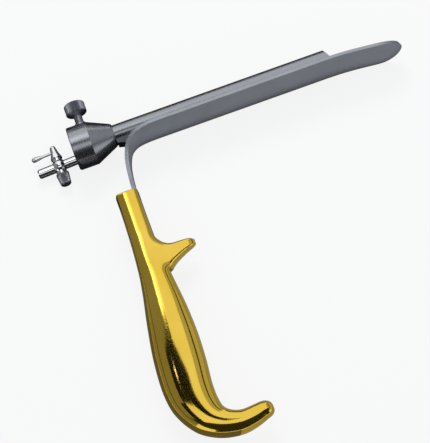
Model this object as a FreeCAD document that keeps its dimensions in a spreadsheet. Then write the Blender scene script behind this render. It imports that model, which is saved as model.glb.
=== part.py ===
# Endoscopic retractor, lying on its side: a pistol grip, a long curved blade, a tube for the endoscope
# along the back of the blade, a clamp housing with a thumb screw, and a stopcock on a side port.
# +X runs along the tube towards the blade tip, +Y points away from the grip, +Z is the near side.
# The origin is the centre of the endoscope bore on the rear face of the housing. Millimetres.
import FreeCAD, Part
import math
import os
import re

import Sketcher

V = FreeCAD.Vector
FIT = 0.2  # how close an edge lies to the height it is looked for at
CURVE_STEPS = 8  # steps in half of a rounded outline
CLOSING = (0.5, 0.82, 0.97)  # where a rounded end gets its sections, as shares of its reach

# Driving dimensions: name, value, what it is.
SIZES = (
    ("scope_diameter", 10.0, "endoscope that the tube takes"),
    ("bore_clearance", 0.2, "radial room round the endoscope"),
    ("braze_gap", 0.05, "radial gap that braze or thread fills"),
    ("running_gap", 0.08, "radial gap of parts that turn or slide"),
    ("face_gap", 0.15, "gap between faces that move past each other"),
    ("cut_over", 1.0, "how far a cut runs past the metal"),
    ("tube_wall", 0.8, "wall of the scope tube"),
    ("tube_end", 162.6, "far end of the tube on its upper side"),
    ("tube_bevel", 25.0, "bevel of the far end, degrees"),
    ("housing_radius", 13.6, "clamp housing, cylindrical part"),
    ("housing_body", 12.3, "length of the cylindrical part"),
    ("cone_end", 26.0, "where the cone ends"),
    ("cone_radius", 7.4, "cone at its small end"),
    ("nose_length", 1.0, "chamfered end in front of the cone"),
    ("nose_drop", 0.8, "how much the nose narrows"),
    ("socket_start", 14.0, "shoulder that the tube seats on"),
    ("edge_break", 0.5, "small chamfer"),
    ("relief_length", 5.4, "rounded lower rear corner, along the axis"),
    ("relief_height", 3.4, "rounded lower rear corner, across the axis"),
    ("relief_near_x", 1.2, "first bend of the rounded corner, along the axis"),
    ("relief_near_y", 1.5, "first bend of the rounded corner, from the outside"),
    ("relief_far_x", 3.0, "second bend of the rounded corner, along the axis"),
    ("relief_far_y", 0.4, "second bend of the rounded corner, from the outside"),
    ("seal_bore", 6.4, "counterbore for the seal, radius"),
    ("seal_depth", 4.0, "counterbore for the seal, depth"),
    ("seal_section", 0.55, "radius of the seal's cord"),
    ("screw_place", 9.2, "thumb screw from the rear face"),
    ("pad_radius", 2.97, "pressure pad"),
    ("pad_bottom", 5.35, "pad face when the screw is released"),
    ("pad_length", 2.8, "pad along the screw"),
    ("pad_travel", 1.2, "how far the screw can push the pad in"),
    ("tip_radius", 1.1, "button on the tip of the screw"),
    ("tip_length", 1.0, "button height"),
    ("tip_neck", 0.8, "neck above the button, radius"),
    ("pad_floor", 0.85, "solid end of the pad under the button"),
    ("thread_radius", 2.0, "threaded part of the screw"),
    ("bush_shoulder", 8.9, "seat of the bush in the housing"),
    ("bush_radius", 3.3, "bush, outside"),
    ("bush_proud", 1.4, "bush, upper end above the housing's outside"),
    ("bush_well", 3.0, "counterbore in the bush, depth"),
    ("stem_radius", 2.6, "plain stem of the thumb screw"),
    ("head_radius", 6.5, "knurled head"),
    ("head_lift", 4.9, "underside of the head at the stem, above the bush"),
    ("head_cone", 1.9, "height of the conical underside"),
    ("head_band", 6.4, "height of the knurled band"),
    ("head_dome", 0.8, "rounded upper edge"),
    ("dome_bend", 0.24, "bend half way round the upper edge, from the outside"),
    ("head_grooves", 32, "grooves round the head"),
    ("groove_depth", 0.35, "knurl groove"),
    ("groove_half", 0.4, "half width of a knurl groove at the surface"),
    ("cock_x", -11.4, "centre of the stopcock"),
    ("cock_y", -3.5, "centre of the stopcock"),
    ("port_wall", 0.15, "metal left between the port tube and the counterbore for the seal"),
    ("cock_tilt", 2.5, "tilt of the port, degrees"),
    ("port_radius", 2.95, "port tube and hose nipple"),
    ("port_bore", 1.3, "flow bore, radius"),
    ("port_depth", 5.0, "port tube inside the housing"),
    ("channel_depth", 9.5, "flow bore inside the housing"),
    ("cross_radius", 1.1, "channel between the flow bore and the scope bore"),
    ("ball_radius", 4.7, "stopcock body"),
    ("ball_flat", 3.5, "flats that the stems stand on, from the centre"),
    ("barrel_radius", 3.1, "barrel round the plug"),
    ("barrel_top", 5.2, "barrel, upper face"),
    ("barrel_bottom", -4.9, "barrel, lower face"),
    ("plug_small", 1.95, "plug at the lower face, radius"),
    ("plug_large", 2.45, "plug at the upper face, radius"),
    ("plug_neck", 1.6, "neck of the plug in the hub"),
    ("neck_top", 8.9, "top of the neck"),
    ("tail_radius", 1.2, "threaded tail of the plug"),
    ("tail_end", -11.6, "lower end of the tail"),
    ("pin_radius", 0.4, "stop pin"),
    ("pin_height", 4.7, "stop pin above the centre"),
    ("pin_start", 0.9, "inner end of the stop pin"),
    ("pin_reach", 3.0, "outer end of the stop pin"),
    ("notch_floor", 4.2, "floor of the stop notch"),
    ("hub_skirt", 3.6, "hub, radius of the skirt"),
    ("hub_rim", 0.55, "height of the rim of the skirt"),
    ("hub_waist", 2.4, "hub, radius at the ring line"),
    ("waist_height", 9.2, "ring line above the centre"),
    ("hub_crown", 1.7, "hub, radius at the top"),
    ("hub_top", 14.0, "hub, upper end"),
    ("lever_height", 10.2, "lever above the centre"),
    ("lever_start", 0.8, "inner end of the lever"),
    ("lever_root", 0.8, "lever at the hub, radius"),
    ("lever_middle", 0.88, "lever half way out, radius"),
    ("lever_bulb", 1.6, "teardrop end, radius"),
    ("bulb_bend", 1.5, "teardrop past its widest place, radius"),
    ("bulb_nose", 0.96, "teardrop near its end, radius"),
    ("lever_reach", 14.7, "outer end of the lever"),
    ("bulb_back", 2.4, "widest place of the teardrop from its end"),
    ("nipple_reach", 13.8, "outer end of the hose nipple"),
    ("nipple_chamfer", 0.9, "chamfered end of the nipple"),
    ("washer_radius", 3.9, "washer under the barrel"),
    ("washer_thick", 0.35, "washer"),
    ("spring_radius", 3.2, "disc spring"),
    ("spring_rise", 0.35, "cone of the disc spring"),
    ("spring_thick", 0.25, "disc spring"),
    ("nut_radius", 4.05, "cap nut at its upper end"),
    ("nut_taper", 0.7, "how much narrower the lower end is"),
    ("nut_height", 7.55, "cap nut"),
    ("nut_recess", 3.45, "recess for the disc spring, radius"),
    ("nut_round", 0.95, "rounded lower end"),
    ("nut_bend_in", 0.38, "bend of the rounded end, from the outside"),
    ("nut_bend_up", 0.24, "bend of the rounded end, from the bottom"),
    ("nut_floor", 1.1, "closed end of the nut"),
    ("nut_grooves", 24, "grooves round the nut"),
    ("strap_thick", 2.4, "blade and neck"),
    ("blade_half", 12.8, "half width of the blade"),
    ("blade_camber", 2.0, "rise of the blade's edges"),
    ("blade_start", 52.0, "where the full width begins"),
    ("bend_start", 161.0, "where the tip starts to bend down"),
    ("bend_radius", 200.0, "bend of the tip"),
    ("bend_turn", 6.2, "turn of the tip, degrees"),
    ("lift_start", 193.3, "where the end of the blade starts to curl up"),
    ("lift_radius", 30.0, "curl of the end, radius at the face towards the tube"),
    ("lift_turn", 34.0, "turn of the curled end, degrees"),
    ("blade_tip", 209.6, "end of the blade"),
    ("tip_oval", 16.0, "length of the rounded end of the blade"),
    ("saddle_half", 4.0, "half width of the saddle"),
    ("saddle_drop", 1.2, "saddle below the tube at the housing"),
    ("saddle_rise", 1.7, "saddle above the lowest line of the tube"),
    ("saddle_foot_x", 1.0, "foot of the saddle past the bend's middle, along the tube"),
    ("saddle_foot_y", 1.25, "foot of the saddle past the bend's middle, towards the tube"),
    ("saddle_heel", 0.32, "end of the saddle above the strap"),
    ("edge_round", 0.7, "how far the rounded edges of the strip stand out"),
    ("tang_length", 24.0, "straight tang below the neck"),
    ("tang_lean", 3.6, "lean of the tang, degrees"),
)

# Neck of the blade: the middle of its rear face, its half width and its camber, from the tang up.
NECK = (
    ("tang_top", 26.05, -39.0, 4.8, 0.0),
    ("neck_low", 26.45, -33.0, 5.9, 0.0),
    ("neck_mid", 27.1, -26.0, 6.3, 0.0),
    ("neck_high", 28.4, -19.6, 6.8, 0.1),
    ("bend_low", 30.6, -13.9, 7.6, 0.3),
    ("bend_mid", 33.5, -10.1, 9.0, 0.7),
    ("bend_high", 37.9, -7.5, 10.6, 1.2),
    ("flare", 43.9, -6.35, 12.0, 1.7),
)

# Grip: back point, front point, half thickness and squareness of each section, from the top down to
# the curled foot. A squareness of 2 is an ellipse.
GRIP = (
    ("top", 14.9, -40.4, 29.3, -40.4, 7.5, 4.5),
    ("throat", 14.8, -60.0, 29.4, -60.0, 7.5, 4.0),
    ("shoulder", 13.9, -82.0, 30.2, -82.0, 7.7, 3.3),
    ("waist", 12.0, -101.0, 32.3, -101.0, 8.0, 2.9),
    ("swell", 7.4, -127.0, 34.8, -127.0, 8.9, 2.6),
    ("belly", 4.3, -151.0, 35.0, -151.0, 9.5, 2.5),
    ("heel", 4.1, -172.5, 33.4, -172.5, 9.4, 2.5),
    ("turn_one", 8.0, -186.9, 34.1, -184.2, 9.2, 2.5),
    ("turn_two", 17.0, -199.3, 36.2, -189.4, 8.7, 2.5),
    ("turn_three", 30.0, -206.2, 40.6, -192.6, 8.0, 2.4),
    ("sole", 43.0, -208.0, 45.6, -193.8, 7.2, 2.3),
    ("foot", 52.4, -206.0, 51.6, -193.3, 6.3, 2.2),
    ("curl", 57.9, -204.0, 56.8, -192.9, 5.6, 2.1),
)
CURL_LENGTH = ("curl_round", 5.6, "rounded end of the curled foot")

# Finger spur: distance along X, upper edge, lower edge, half thickness.
SPUR = (
    ("spur_root", 26.0, -71.5, -97.0, 7.2),
    ("spur_rise", 31.0, -75.6, -95.4, 6.6),
    ("spur_neck", 35.2, -80.0, -93.6, 5.8),
    ("spur_mid", 40.0, -80.3, -90.4, 5.0),
    ("spur_far", 45.0, -80.3, -88.0, 4.3),
    ("spur_end", 48.6, -80.5, -86.9, 3.5),
)
SPUR_EXTRA = (
    ("spur_round", 3.0, "rounded end of the spur"),
    ("spur_square", 2.2, "squareness of the spur's sections"),
    ("top_round", 0.8, "rounded upper edge of the grip"),
    ("shell_rim", 3.0, "metal left between the hollow and the edge of each half"),
    ("shell_depth", 5.4, "depth of the hollow from the middle plane"),
)

# Sections of the grip that the hollow runs through.
HOLLOW = ("shoulder", "waist", "swell", "belly", "heel", "turn_one")

doc = FreeCAD.newDocument("EndoscopicRetractor")
sheet = doc.addObject("Spreadsheet::Sheet", "sizes")


def fill_sheet():
    """Write every driving dimension to the sheet, one row each."""
    rows = list(SIZES) + [CURL_LENGTH] + list(SPUR_EXTRA)
    for name, x, y, half, camber in NECK:
        rows.append((name + "_x", x, "neck of the blade"))
        rows.append((name + "_y", y, "neck of the blade"))
        rows.append((name + "_half", half, "neck of the blade, half width"))
        rows.append((name + "_camber", camber, "neck of the blade, camber"))
    for name, back_x, back_y, front_x, front_y, thick, square in GRIP:
        rows.append((name + "_back_x", back_x, "grip, back edge"))
        rows.append((name + "_back_y", back_y, "grip, back edge"))
        rows.append((name + "_front_x", front_x, "grip, front edge"))
        rows.append((name + "_front_y", front_y, "grip, front edge"))
        rows.append((name + "_thick", thick, "grip, half thickness"))
        rows.append((name + "_square", square, "grip, squareness"))
    for name, x, upper, lower, thick in SPUR:
        rows.append((name + "_x", x, "finger spur"))
        rows.append((name + "_upper", upper, "finger spur, upper edge"))
        rows.append((name + "_lower", lower, "finger spur, lower edge"))
        rows.append((name + "_thick", thick, "finger spur, half thickness"))
    for number, (name, value, note) in enumerate(rows, start=1):
        sheet.set("A%d" % number, name)
        sheet.set("B%d" % number, str(value))
        sheet.setAlias("B%d" % number, name)
        sheet.set("C%d" % number, note)
    doc.recompute()
    return {row[0] for row in rows}


NAMES = fill_sheet()


def size(name):
    """The value of one driving dimension."""
    return float(sheet.get(name))


def bound(text):
    """Turn a formula in the names of the sheet into an expression of the document."""
    def full(word):
        found = word.group(0)
        return "sizes." + found if found in NAMES else found
    return re.sub(r"[a-z][a-z_0-9]*", full, text)


def value(text):
    """What a formula in the names of the sheet comes to."""
    return float(sheet.evalExpression(bound(text)))


def place(item, x="0", y="0", z="0", turn=FreeCAD.Rotation()):
    """Turn a body or feature and bind its position to the sheet."""
    item.Placement = FreeCAD.Placement(V(0, 0, 0), turn)
    for axis, text in (("x", x), ("y", y), ("z", z)):
        item.setExpression("Placement.Base." + axis, bound(text))


def plane(body, role):
    """One of a body's own origin planes or axes."""
    return next(item for item in body.Origin.OriginFeatures if item.Role == role)


def outline(body, name, corners, role="XY_Plane", rise="0", ball=None):
    """Closed sketch with both places of every corner bound to the sheet. Its edges are straight, apart
    from the one that ball names, with its radius: an arc about the sketch's origin."""
    sketch = body.newObject("Sketcher::SketchObject", name)
    sketch.AttachmentSupport = [(plane(body, role), "")]
    sketch.MapMode = "FlatFace"
    sketch.setExpression("AttachmentOffset.Base.y", bound(rise))
    points = [V(value(across), value(up), 0) for across, up in corners]
    for number, start in enumerate(points):
        end = points[(number + 1) % len(points)]
        if ball and ball[0] == number:
            sketch.addGeometry(Part.Arc(start, V(value(ball[1]), 0, 0), end))
        else:
            sketch.addGeometry(Part.LineSegment(start, end))
    for number in range(len(points)):
        following = (number + 1) % len(points)
        sketch.addConstraint(Sketcher.Constraint("Coincident", number, 2, following, 1))
    for number, (across, up) in enumerate(corners):
        for kind, text, place_now in (
            ("DistanceX", across, points[number].x),
            ("DistanceY", up, points[number].y),
        ):
            rule = Sketcher.Constraint(kind, -1, 1, number, 1, place_now)
            index = sketch.addConstraint(rule)
            sketch.setExpression("Constraints[%d]" % index, bound(text))
    if ball:
        rule = Sketcher.Constraint("Radius", ball[0], value(ball[1]))
        index = sketch.addConstraint(rule)
        sketch.setExpression("Constraints[%d]" % index, bound(ball[1]))
    return sketch


def turned(label, corners, axis="V_Axis", rise="0", ball=None):
    """A turned piece: its profile goes once round an axis of the sketch."""
    body = doc.addObject("PartDesign::Body", label)
    sketch = outline(body, label + "_profile", corners, rise=rise, ball=ball)
    solid = body.newObject("PartDesign::Revolution", label + "_turned")
    solid.Profile = sketch
    solid.ReferenceAxis = (sketch, [axis])
    solid.Angle = 360
    return body


def drill(body, name, radius, length, x="0", y="0", z="0", turn=FreeCAD.Rotation()):
    """A round hole: it starts at the given point and runs along the turned Z axis."""
    hole = body.newObject("PartDesign::SubtractiveCylinder", name)
    hole.setExpression("Radius", bound(radius))
    hole.setExpression("Height", bound(length))
    place(hole, x, y, z, turn)
    return hole


def mill(body, name, low, high):
    """A square cut between two corners."""
    cut = body.newObject("PartDesign::SubtractiveBox", name)
    for side, start, end in zip(("Length", "Width", "Height"), low, high):
        cut.setExpression(side, bound("(%s) - (%s)" % (end, start)))
    place(cut, *low)
    return cut


def knurl(body, radius, count):
    """Grooves all round a piece that was turned about its Y axis. Each is a wedge, drawn to twice its
    depth so that it runs clear of the metal."""
    corners = (
        ("%s - groove_depth" % radius, "0"),
        ("%s + groove_depth" % radius, "2 * groove_half"),
        ("%s + groove_depth" % radius, "-2 * groove_half"),
    )
    notch = body.newObject("PartDesign::Pocket", body.Label + "_groove")
    notch.Profile = outline(body, body.Label + "_groove_shape", corners, role="XZ_Plane")
    notch.Type = "ThroughAll"
    notch.SideType = "Symmetric"
    doc.recompute()
    around = body.newObject("PartDesign::PolarPattern", body.Label + "_knurl")
    around.Originals = [notch]
    around.Axis = (plane(body, "Y_Axis"), [""])
    around.Angle = 360
    around.setExpression("Occurrences", bound(count))
    body.Tip = around


TO_X = FreeCAD.Rotation(V(0, 1, 0), 90)
TO_LESS_X = FreeCAD.Rotation(V(0, 1, 0), -90)
TO_Y = FreeCAD.Rotation(V(1, 0, 0), -90)
BORE = "scope_diameter / 2 + bore_clearance"
TUBE = BORE + " + tube_wall"
BUSH_TOP = "housing_radius + bush_proud"
BUSH_FLOOR = BUSH_TOP + " - bush_well"
HEAD_BOTTOM = BUSH_TOP + " + head_lift"
COCK_Z = "-(seal_bore + port_wall + port_radius)"


def make_housing():
    """Clamp housing: turned body with a cone, the scope bore, the seal seat and the side port."""
    body = turned("clamp_housing", (
        ("0", "seal_bore"),
        ("0", "housing_radius - edge_break"),
        ("edge_break", "housing_radius"),
        ("housing_body", "housing_radius"),
        ("cone_end", "cone_radius"),
        ("cone_end + nose_length", "cone_radius - nose_drop"),
        ("cone_end + nose_length", TUBE + " + braze_gap"),
        ("socket_start", TUBE + " + braze_gap"),
        ("socket_start", BORE),
        ("seal_depth", BORE),
        ("seal_depth", "seal_bore"),
    ), axis="H_Axis")
    drill(body, "pad_hole", "pad_radius + running_gap", "bush_shoulder", x="screw_place", turn=TO_Y)
    drill(body, "bush_hole", "bush_radius + braze_gap", "housing_radius", x="screw_place",
          y="bush_shoulder", turn=TO_Y)
    port = cock_turn().multiply(TO_X)
    drill(body, "port_socket", "port_radius + braze_gap", "port_depth - cock_x",
          "cock_x", "cock_y", COCK_Z, port)
    drill(body, "port_channel", "port_bore", "channel_depth - cock_x",
          "cock_x", "cock_y", COCK_Z, port)
    towards_port = FreeCAD.Rotation(V(0, 0, 1), V(0, size("cock_y"), value(COCK_Z)))
    drill(body, "cross_channel", "cross_radius", "-(%s) + port_bore / 2" % COCK_Z,
          x="channel_depth - port_bore", turn=towards_port)
    relief = body.newObject("PartDesign::Pocket", "corner_relief")
    relief.Profile = outline(body, "corner_relief_shape", (
        ("-cut_over", "-housing_radius + relief_height + cut_over"),
        ("0", "-housing_radius + relief_height"),
        ("relief_near_x", "-housing_radius + relief_near_y"),
        ("relief_far_x", "-housing_radius + relief_far_y"),
        ("relief_length", "-housing_radius - braze_gap"),
        ("relief_length", "-housing_radius - cut_over"),
        ("-cut_over", "-housing_radius - cut_over"),
    ))
    relief.Type = "ThroughAll"
    relief.SideType = "Symmetric"
    return body


def cock_turn():
    """The stopcock's tilt about Z."""
    return FreeCAD.Rotation(V(0, 0, 1), size("cock_tilt"))


def make_seal():
    """Sealing ring and the ring that holds it in the rear of the bore."""
    seal = doc.addObject("PartDesign::Body", "scope_seal")
    ring = seal.newObject("PartDesign::AdditiveTorus", "seal_ring")
    ring.setExpression("Radius1", bound("seal_bore - braze_gap - seal_section"))
    ring.setExpression("Radius2", bound("seal_section"))
    place(seal, x="seal_depth - seal_section - braze_gap", turn=TO_X)
    holder = turned("seal_retainer", (
        ("0", BORE),
        ("0", "seal_bore - braze_gap"),
        ("seal_depth - 2 * seal_section - 2 * braze_gap", "seal_bore - braze_gap"),
        ("seal_depth - 2 * seal_section - 2 * braze_gap", BORE),
    ), axis="H_Axis")
    mill(holder, "spanner_slot", ("-cut_over", "-seal_bore", "-edge_break"),
         ("edge_break", "seal_bore", "edge_break"))
    return [seal, holder]


def make_tube():
    """Scope tube: thin tube with a bevelled far end."""
    reach = "tube_end + 2 * (%s) * tan(tube_bevel)" % TUBE
    body = turned("scope_tube", (
        ("socket_start", BORE),
        ("socket_start", TUBE),
        (reach, TUBE),
        (reach, BORE),
    ), axis="H_Axis")
    bevel = body.newObject("PartDesign::Pocket", "end_bevel")
    bevel.Profile = outline(body, "end_bevel_shape", (
        ("tube_end - cut_over * tan(tube_bevel)", TUBE + " + cut_over"),
        (reach + " + cut_over * tan(tube_bevel)", "-(%s) - cut_over" % TUBE),
        (reach + " + 2 * cut_over", "-(%s) - cut_over" % TUBE),
        (reach + " + 2 * cut_over", TUBE + " + cut_over"),
    ))
    bevel.Type = "ThroughAll"
    bevel.SideType = "Symmetric"
    return body


def make_clamp():
    """Threaded bush, thumb screw and pressure pad, all about the screw's axis."""
    bush = turned("screw_bush", (
        ("thread_radius + braze_gap", "bush_shoulder"),
        ("bush_radius", "bush_shoulder"),
        ("bush_radius", BUSH_TOP + " - edge_break"),
        ("bush_radius - edge_break / 2", BUSH_TOP),
        ("stem_radius + face_gap", BUSH_TOP),
        ("stem_radius + face_gap", BUSH_FLOOR),
        ("thread_radius + braze_gap", BUSH_FLOOR),
    ))
    button = "pad_bottom + pad_floor + face_gap"
    shoulder = "pad_bottom + pad_length + face_gap"
    head_top = HEAD_BOTTOM + " + head_cone + head_band"
    screw = turned("thumb_screw", (
        ("0", button),
        ("tip_radius", button),
        ("tip_radius", button + " + tip_length"),
        ("tip_neck", button + " + tip_length"),
        ("tip_neck", shoulder),
        ("thread_radius", shoulder),
        ("thread_radius", BUSH_FLOOR + " + pad_travel + face_gap"),
        ("stem_radius", BUSH_FLOOR + " + pad_travel + face_gap"),
        ("stem_radius", HEAD_BOTTOM + " - edge_break"),
        ("stem_radius + edge_break", HEAD_BOTTOM),
        ("head_radius", HEAD_BOTTOM + " + head_cone"),
        ("head_radius", head_top + " - head_dome"),
        ("head_radius - dome_bend", head_top + " - dome_bend"),
        ("head_radius - head_dome", head_top),
        ("0", head_top),
    ))
    knurl(screw, "head_radius", "head_grooves")
    lip = button + " + tip_length + face_gap"
    pad = turned("pressure_pad", (
        ("0", "pad_bottom"),
        ("pad_radius", "pad_bottom"),
        ("pad_radius", "pad_bottom + pad_length"),
        ("tip_neck + face_gap", "pad_bottom + pad_length"),
        ("tip_neck + face_gap", lip),
        ("tip_radius + face_gap", lip),
        ("tip_radius + face_gap", "pad_bottom + pad_floor"),
        ("0", "pad_bottom + pad_floor"),
    ))
    for body in (bush, screw, pad):
        place(body, x="screw_place")
    return [bush, screw, pad]


def make_cock():
    """Stopcock: body, port tube, nipple, plug with stop pin, hub, lever, washer, spring and cap nut."""
    shoulder = "sqrt(ball_radius ^ 2 - barrel_radius ^ 2)"
    ball = turned("cock_body", (
        ("plug_small + running_gap", "barrel_bottom"),
        ("barrel_radius", "barrel_bottom"),
        ("barrel_radius", "-" + shoulder),
        ("barrel_radius", shoulder),
        ("barrel_radius", "barrel_top"),
        ("plug_large + running_gap", "barrel_top"),
    ), ball=(2, "ball_radius"))
    drill(ball, "front_flat", "ball_radius", "ball_radius", x="ball_flat", turn=TO_X)
    drill(ball, "rear_flat", "ball_radius", "ball_radius", x="-ball_flat", turn=TO_LESS_X)
    drill(ball, "flow_bore", "port_bore", "2 * ball_radius", x="-ball_radius", turn=TO_X)
    notch_side = "pin_radius + face_gap"
    mill(ball, "stop_notch", ("-(%s)" % notch_side, "notch_floor", "-ball_radius"),
         ("ball_radius", "barrel_top + cut_over", notch_side))

    port = turned("port_tube", (
        ("ball_flat", "port_bore"),
        ("ball_flat", "port_radius"),
        ("port_depth - cock_x", "port_radius"),
        ("port_depth - cock_x", "port_bore"),
    ), axis="H_Axis")
    nipple = turned("rear_nipple", (
        ("-ball_flat", "port_bore"),
        ("-ball_flat", "port_radius"),
        ("-nipple_reach + nipple_chamfer", "port_radius"),
        ("-nipple_reach", "port_radius - nipple_chamfer"),
        ("-nipple_reach", "port_bore + edge_break"),
        ("-nipple_reach + edge_break", "port_bore"),
    ), axis="H_Axis")

    plug = turned("cock_plug", (
        ("0", "tail_end"),
        ("tail_radius", "tail_end"),
        ("tail_radius", "barrel_bottom"),
        ("plug_small", "barrel_bottom"),
        ("plug_large", "barrel_top"),
        ("plug_neck", "barrel_top"),
        ("plug_neck", "neck_top"),
        ("0", "neck_top"),
    ))
    drill(plug, "plug_bore", "port_bore", "2 * plug_large", x="-plug_large", turn=TO_X)
    drill(plug, "pin_hole", "pin_radius + braze_gap", "plug_large",
          x="pin_start", y="pin_height", turn=TO_X)
    pin = turned("stop_pin", (
        ("pin_start", "0"),
        ("pin_start", "pin_radius"),
        ("pin_reach", "pin_radius"),
        ("pin_reach", "0"),
    ), axis="H_Axis", rise="pin_height")

    hub = turned("cock_hub", (
        ("plug_neck + braze_gap", "barrel_top + face_gap"),
        ("hub_skirt", "barrel_top + face_gap"),
        ("hub_skirt", "barrel_top + face_gap + hub_rim"),
        ("hub_waist", "waist_height"),
        ("hub_waist", "waist_height + hub_rim / 2"),
        ("hub_crown", "hub_top - edge_break"),
        ("hub_crown - edge_break", "hub_top"),
        ("0", "hub_top"),
        ("0", "neck_top"),
        ("plug_neck + braze_gap", "neck_top"),
    ))
    drill(hub, "lever_hole", "lever_root + braze_gap", "hub_skirt",
          x="-lever_start", y="lever_height", turn=TO_LESS_X)
    lever = turned("cock_lever", (
        ("-lever_start", "0"),
        ("-lever_start", "lever_root"),
        ("-lever_reach / 2", "lever_middle"),
        ("-lever_reach + bulb_back", "lever_bulb"),
        ("-lever_reach + bulb_back / 2", "bulb_bend"),
        ("-lever_reach + bulb_back / 6", "bulb_nose"),
        ("-lever_reach", "0"),
    ), axis="H_Axis", rise="lever_height")

    under = "barrel_bottom - face_gap"
    washer = turned("cock_washer", (
        ("tail_radius + braze_gap", under),
        ("washer_radius", under),
        ("washer_radius", under + " - washer_thick"),
        ("tail_radius + braze_gap", under + " - washer_thick"),
    ))
    below = under + " - washer_thick"
    spring = turned("cock_spring", (
        ("spring_radius", below + " - braze_gap"),
        ("spring_radius", below + " - braze_gap - spring_thick"),
        ("tail_radius + face_gap", below + " - braze_gap - spring_thick - spring_rise"),
        ("tail_radius + face_gap", below + " - braze_gap - spring_rise"),
    ))
    inside = below + " - 2 * braze_gap - spring_thick - spring_rise"
    nut = turned("cock_nut", (
        ("0", below + " - nut_height + nut_floor"),
        ("tail_radius + braze_gap", below + " - nut_height + nut_floor"),
        ("tail_radius + braze_gap", inside),
        ("nut_recess", inside),
        ("nut_recess", below),
        ("nut_radius", below),
        ("nut_radius", inside),
        ("nut_radius - nut_taper", below + " - nut_height + nut_round"),
        ("nut_radius - nut_taper - nut_bend_in", below + " - nut_height + nut_bend_up"),
        ("nut_radius - nut_taper - nut_round", below + " - nut_height"),
        ("0", below + " - nut_height"),
    ))
    knurl(nut, "nut_radius", "nut_grooves")
    pieces = [ball, port, nipple, plug, pin, hub, lever, washer, spring, nut]
    for body in pieces:
        place(body, "cock_x", "cock_y", COCK_Z, cock_turn())
    return pieces


def section(body, name, centre, across, side, curves):
    """Sketch on a plane through centre: its x runs along across, its y along side."""
    sketch = body.newObject("Sketcher::SketchObject", name)
    sketch.AttachmentSupport = [(plane(body, "XY_Plane"), "")]
    sketch.MapMode = "FlatFace"
    turn = FreeCAD.Rotation(across, side, across.cross(side), "XYZ")
    sketch.AttachmentOffset = FreeCAD.Placement(centre, turn)
    for curve in curves:
        sketch.addGeometry(curve)
    return sketch


def loft(body, name, sketches):
    """Smooth body through a row of sections."""
    solid = body.newObject("PartDesign::AdditiveLoft", name)
    solid.Profile = sketches[0]
    solid.Sections = sketches[1:]
    return solid


def spline(points):
    """Smooth curve through points, with even steps so that neighbouring sections match."""
    curve = Part.BSplineCurve()
    last = len(points) - 1
    curve.interpolate(Points=points, Parameters=[number / last for number in range(last + 1)])
    return curve


def strip(half, camber):
    """Section of the strip: x runs from the rear face into the metal, y across the strip."""
    shares = (-1.0, -0.5, 0.0, 0.5, 1.0)
    flat = half - size("edge_round")
    rear = [V(-camber * share * share, flat * share, 0) for share in shares]
    front = [point + V(size("strap_thick"), 0, 0) for point in reversed(rear)]
    near = (rear[-1] + front[0]) * 0.5 + V(0, size("edge_round"), 0)
    far = (rear[0] + front[-1]) * 0.5 - V(0, size("edge_round"), 0)
    return (spline(rear), Part.Arc(rear[-1], near, front[0]), spline(front), Part.Arc(front[-1], far, rear[0]))


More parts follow.
